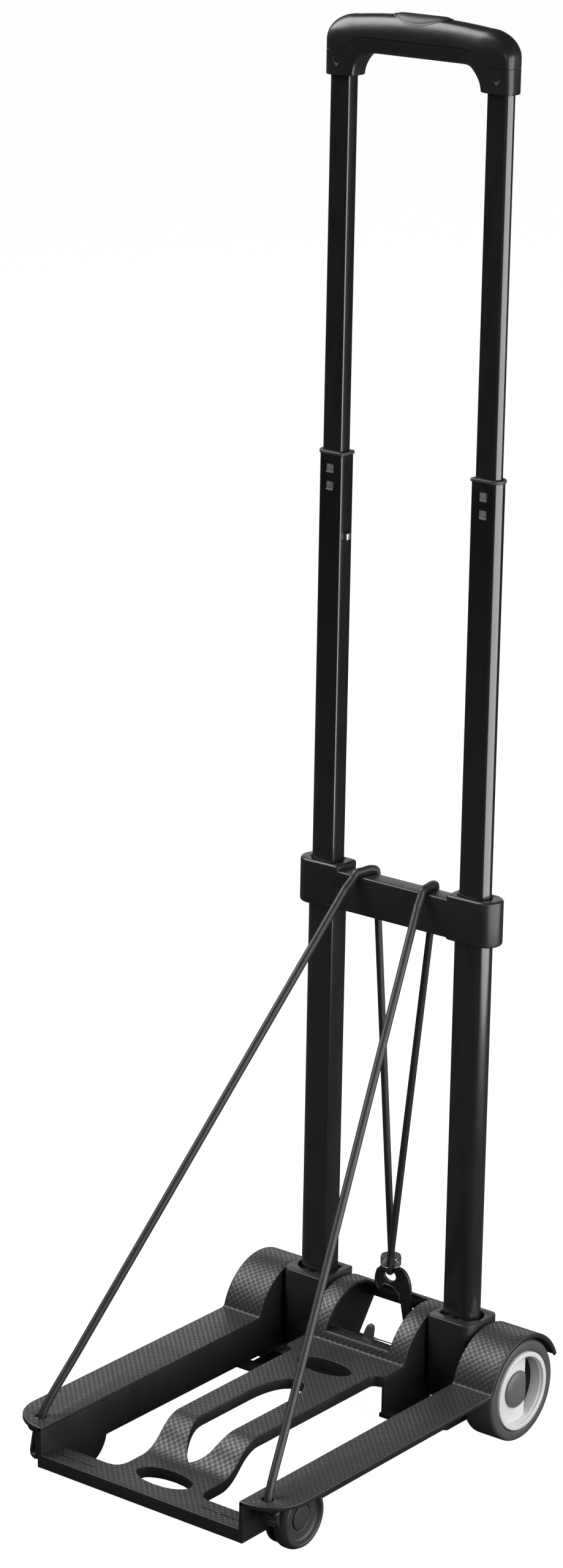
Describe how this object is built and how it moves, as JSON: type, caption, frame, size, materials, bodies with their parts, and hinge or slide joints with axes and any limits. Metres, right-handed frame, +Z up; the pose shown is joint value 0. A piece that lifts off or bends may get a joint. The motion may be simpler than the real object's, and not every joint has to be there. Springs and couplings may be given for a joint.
{
  "type": "folding luggage cart",
  "caption": "Folding luggage cart: hinged platform, two-stage telescopic D-section tubes, release handle, rear and front wheels, and an elastic cord with a hook.",
  "frame": {"origin": "ground point under the middle of the bounding box, with the cart open and extended", "axes": "+Z up, -Y towards the front edge of the platform, +X along the rear axle to the cart's left side as its user stands behind it"},
  "size_m": [0.236, 0.3204, 0.975],
  "materials": {
    "black_plastic": "black moulded plastic, satin, dimpled on the treads",
    "painted_tube": "black satin paint on steel tube",
    "dark_plastic": "dark grey moulded plastic",
    "tyre": "dark grey soft plastic tread",
    "silver_plastic": "silver-grey moulded wheel centre",
    "cap_plastic": "grey moulded cap",
    "steel": "zinc-plated steel",
    "clear_plastic": "clear moulded plastic",
    "cord": "black braided elastic cord"
  },
  "bodies": {
    "frame": {"rear_axle": "steel", "axle_washer_right": "steel", "axle_washer_left": "steel", "socket_right": "black_plastic", "socket_left": "black_plastic", "socket_pin_right": "steel", "socket_pin_left": "steel", "lower_tube_right": "painted_tube", "lower_tube_left": "painted_tube", "brace": "black_plastic", "brace_screw_right": "steel", "brace_screw_left": "steel", "elastic_cord": "cord"},
    "platform": {"platform": "black_plastic", "front_axle_right": "steel", "front_axle_left": "steel", "cord_knot_right": "cord", "cord_knot_left": "cord", "cord_ferrule": "clear_plastic", "cord_hook": "black_plastic"},
    "rear_wheel_right": {"rear_tyre_right": "tyre", "rear_hub_right": "silver_plastic", "hub_cap_right": "cap_plastic"},
    "rear_wheel_left": {"rear_tyre_left": "tyre", "rear_hub_left": "silver_plastic", "hub_cap_left": "cap_plastic"},
    "front_wheel_right": {"front_wheel_right": "dark_plastic", "front_wheel_cap_right": "dark_plastic"},
    "front_wheel_left": {"front_wheel_left": "dark_plastic", "front_wheel_cap_left": "dark_plastic"},
    "middle_section": {"middle_tube_right": "painted_tube", "middle_tube_left": "painted_tube", "middle_collar_right": "dark_plastic", "middle_collar_left": "dark_plastic", "middle_glide_right": "dark_plastic", "middle_glide_left": "dark_plastic", "middle_latch_spring_right": "steel", "middle_latch_spring_left": "steel"},
    "middle_latch_right": {"middle_latch_right": "steel"},
    "middle_latch_left": {"middle_latch_left": "steel"},
    "upper_section": {"upper_tube_right": "painted_tube", "upper_tube_left": "painted_tube", "upper_glide_right": "dark_plastic", "upper_glide_left": "dark_plastic", "handle_top_shell": "black_plastic", "handle_bottom_shell": "black_plastic", "handle_screw_right": "steel", "handle_screw_left": "steel", "upper_latch_spring_right": "steel", "upper_latch_spring_left": "steel", "button_spring": "steel"},
    "upper_latch_right": {"upper_latch_right": "steel"},
    "upper_latch_left": {"upper_latch_left": "steel"},
    "release": {"release_button": "dark_plastic", "release_yoke": "dark_plastic"}
  },
  "joints": [
    {"name": "platform_fold", "type": "hinge", "parent": "frame", "child": "platform", "pos_m": [0, 0.11725, 0.0365], "axis": [-1, 0, 0], "range_deg": [0, 90], "deforming": ["elastic_cord"]},
    {"name": "middle_slide", "type": "slide", "parent": "frame", "child": "middle_section", "axis": [0, 0, 1], "range_m": [-0.278, 0], "deforming": ["middle_latch_right", "middle_latch_left"]},
    {"name": "upper_slide", "type": "slide", "parent": "middle_section", "child": "upper_section", "axis": [0, 0, 1], "range_m": [-0.24, 0], "deforming": ["upper_latch_right", "upper_latch_left"]},
    {"name": "button_press", "type": "slide", "parent": "upper_section", "child": "release", "axis": [0, 0, 1], "range_m": [-0.004, 0], "stiffness_N_per_m": 900, "springref_m": 0.002, "deforming": ["button_spring"]},
    {"name": "upper_latch_right_slide", "type": "slide", "parent": "upper_section", "child": "upper_latch_right", "axis": [1, 0, 0], "range_m": [0, 0.004], "deforming": ["upper_latch_spring_right"]},
    {"name": "upper_latch_left_slide", "type": "slide", "parent": "upper_section", "child": "upper_latch_left", "axis": [1, 0, 0], "range_m": [-0.004, 0], "deforming": ["upper_latch_spring_left"]},
    {"name": "middle_latch_right_slide", "type": "slide", "parent": "middle_section", "child": "middle_latch_right", "axis": [1, 0, 0], "range_m": [0, 0.004], "stiffness_N_per_m": 300, "springref_m": -0.002, "deforming": ["middle_latch_spring_right"]},
    {"name": "middle_latch_left_slide", "type": "slide", "parent": "middle_section", "child": "middle_latch_left", "axis": [1, 0, 0], "range_m": [-0.004, 0], "stiffness_N_per_m": 300, "springref_m": 0.002, "deforming": ["middle_latch_spring_left"]},
    {"name": "rear_wheel_right_spin", "type": "hinge", "parent": "frame", "child": "rear_wheel_right", "pos_m": [0.103, 0.11725, 0.0365], "axis": [1, 0, 0], "continuous": true},
    {"name": "rear_wheel_left_spin", "type": "hinge", "parent": "frame", "child": "rear_wheel_left", "pos_m": [-0.103, 0.11725, 0.0365], "axis": [1, 0, 0], "continuous": true},
    {"name": "front_wheel_right_spin", "type": "hinge", "parent": "platform", "child": "front_wheel_right", "pos_m": [0.096, -0.11175, 0.0222], "axis": [1, 0, 0], "continuous": true},
    {"name": "front_wheel_left_spin", "type": "hinge", "parent": "platform", "child": "front_wheel_left", "pos_m": [-0.096, -0.11175, 0.0222], "axis": [1, 0, 0], "continuous": true}
  ],
  "couplings": [
    {"joint": "upper_latch_right_slide", "follows": "button_press", "ratio": -1},
    {"joint": "upper_latch_left_slide", "follows": "button_press", "ratio": 1}
  ]
}
